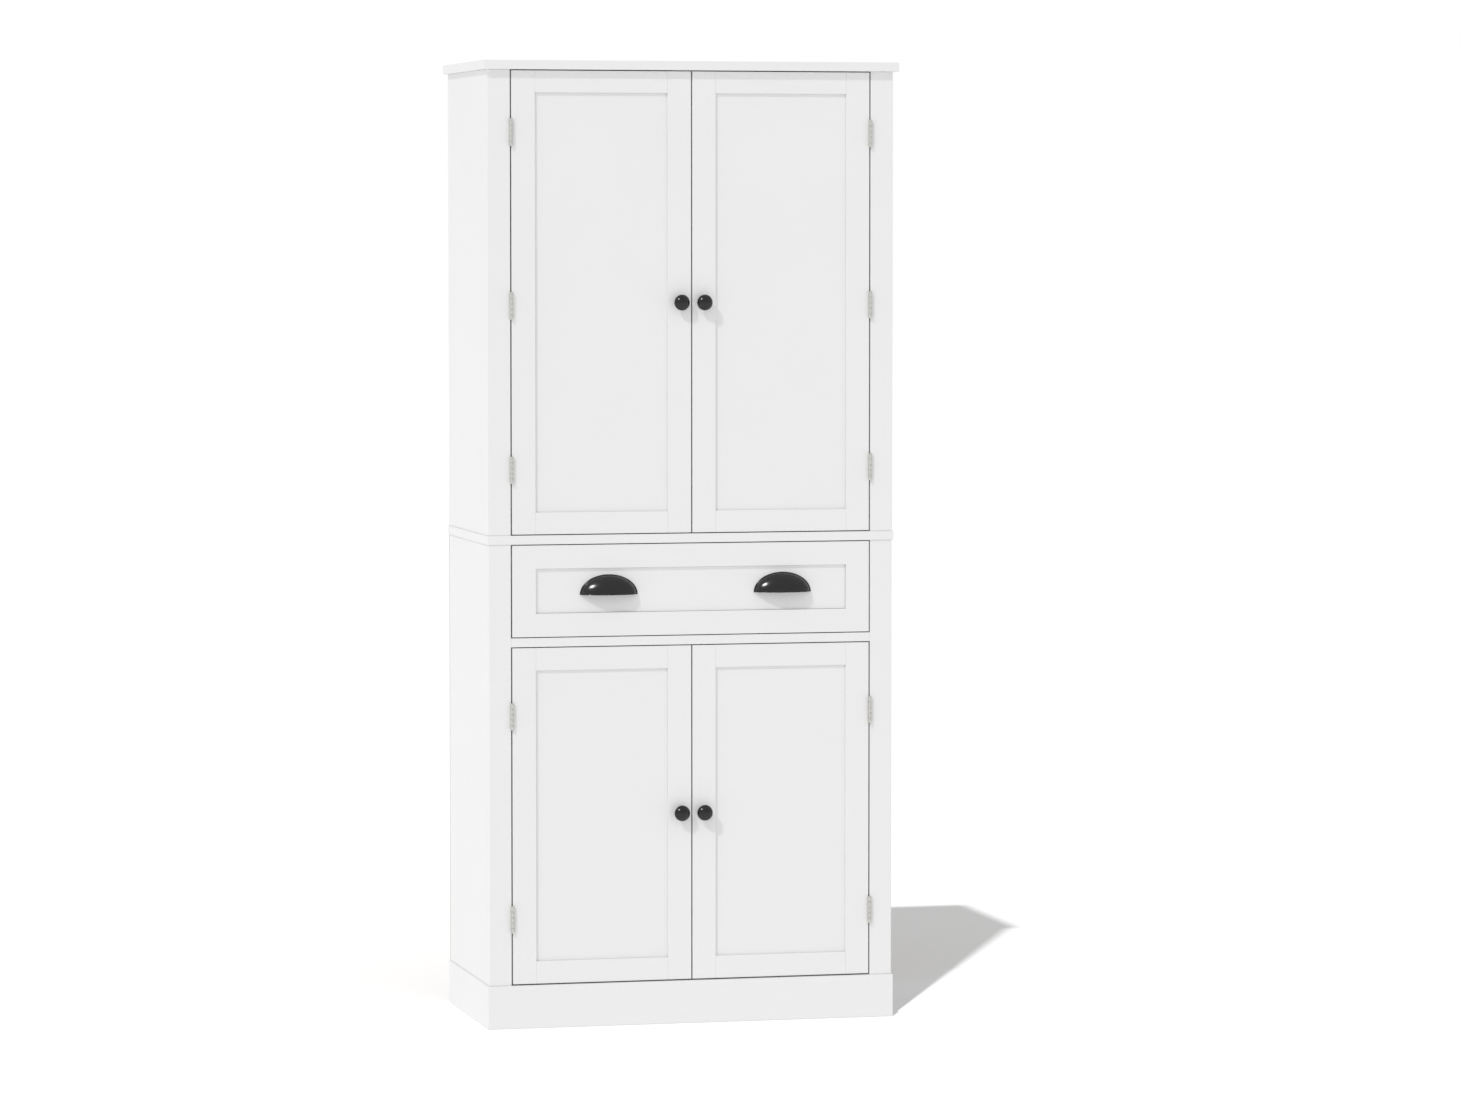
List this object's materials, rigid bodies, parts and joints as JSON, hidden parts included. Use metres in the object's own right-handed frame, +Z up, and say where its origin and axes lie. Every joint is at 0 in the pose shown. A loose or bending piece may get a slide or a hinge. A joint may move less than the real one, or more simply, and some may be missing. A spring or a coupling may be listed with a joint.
{
  "type": "pantry cabinet",
  "caption": "Tall free-standing pantry cabinet with recessed-panel doors above and below a wide drawer with cup pulls, on a plinth, with a projecting top board.",
  "frame": {"origin": "on the floor, under the middle of the whole outline from the knobs' faces to the back", "axes": "+Z up, the long way; -Y out of the doors' front; +X to the right when facing the doors"},
  "size_m": [0.8, 0.419, 1.814],
  "materials": {
    "white_paint": "satin white paint on medium density fibreboard",
    "white_foil": "matt white melamine on particle board",
    "hardboard": "raw brown hardboard outside, white face inside",
    "black_enamel": "gloss black enamel on zinc casting",
    "satin_nickel": "satin nickel plate on steel",
    "zinc_steel": "bright zinc plate on rolled steel"
  },
  "bodies": {
    "carcass": {"back_panel": "hardboard", "bottom_board": "white_foil", "drawer_divider": "white_paint", "lower_door_left_hinge1_frame_leaf": "satin_nickel", "lower_door_left_hinge2_frame_leaf": "satin_nickel", "lower_door_right_hinge1_frame_leaf": "satin_nickel", "lower_door_right_hinge2_frame_leaf": "satin_nickel", "lower_shelf": "white_foil", "lower_side_left": "white_paint", "lower_side_right": "white_paint", "lower_stile_left": "white_paint", "lower_stile_right": "white_paint", "mid_board": "white_paint", "plinth_front": "white_paint", "plinth_side_left": "white_paint", "plinth_side_right": "white_paint", "runner_track": "zinc_steel", "top_board": "white_paint", "upper_door_left_hinge1_frame_leaf": "satin_nickel", "upper_door_left_hinge2_frame_leaf": "satin_nickel", "upper_door_left_hinge3_frame_leaf": "satin_nickel", "upper_door_right_hinge1_frame_leaf": "satin_nickel", "upper_door_right_hinge2_frame_leaf": "satin_nickel", "upper_door_right_hinge3_frame_leaf": "satin_nickel", "upper_shelf_high": "white_foil", "upper_shelf_low": "white_foil", "upper_side_left": "white_paint", "upper_side_right": "white_paint", "upper_stile_left": "white_paint", "upper_stile_right": "white_paint"},
    "upper_door_left": {"upper_door_left_frame": "white_paint", "upper_door_left_hinge1_door_leaf": "satin_nickel", "upper_door_left_hinge2_door_leaf": "satin_nickel", "upper_door_left_hinge3_door_leaf": "satin_nickel", "upper_door_left_knob": "black_enamel", "upper_door_left_panel": "white_paint"},
    "upper_door_right": {"upper_door_right_frame": "white_paint", "upper_door_right_hinge1_door_leaf": "satin_nickel", "upper_door_right_hinge2_door_leaf": "satin_nickel", "upper_door_right_hinge3_door_leaf": "satin_nickel", "upper_door_right_knob": "black_enamel", "upper_door_right_panel": "white_paint"},
    "lower_door_left": {"lower_door_left_frame": "white_paint", "lower_door_left_hinge1_door_leaf": "satin_nickel", "lower_door_left_hinge2_door_leaf": "satin_nickel", "lower_door_left_knob": "black_enamel", "lower_door_left_panel": "white_paint"},
    "lower_door_right": {"lower_door_right_frame": "white_paint", "lower_door_right_hinge1_door_leaf": "satin_nickel", "lower_door_right_hinge2_door_leaf": "satin_nickel", "lower_door_right_knob": "black_enamel", "lower_door_right_panel": "white_paint"},
    "drawer": {"cup_pull_left": "black_enamel", "cup_pull_right": "black_enamel", "drawer_back": "white_foil", "drawer_bottom": "white_foil", "drawer_front": "white_paint", "drawer_side_left": "white_foil", "drawer_side_right": "white_foil", "runner_slide": "zinc_steel"}
  },
  "joints": [
    {"name": "upper_door_left_swing", "type": "hinge", "parent": "carcass", "child": "upper_door_left", "pos_m": [-0.34625, -0.189, 1.36225], "axis": [0, 0, -1], "range_deg": [0, 180]},
    {"name": "upper_door_right_swing", "type": "hinge", "parent": "carcass", "child": "upper_door_right", "pos_m": [0.34625, -0.189, 1.36225], "axis": [0, 0, 1], "range_deg": [0, 180]},
    {"name": "lower_door_left_swing", "type": "hinge", "parent": "carcass", "child": "lower_door_left", "pos_m": [-0.34625, -0.189, 0.3995], "axis": [0, 0, -1], "range_deg": [0, 180]},
    {"name": "lower_door_right_swing", "type": "hinge", "parent": "carcass", "child": "lower_door_right", "pos_m": [0.34625, -0.189, 0.3995], "axis": [0, 0, 1], "range_deg": [0, 180]},
    {"name": "drawer_slide", "type": "slide", "parent": "carcass", "child": "drawer", "axis": [0, -1, 0], "range_m": [0, 0.26]}
  ]
}
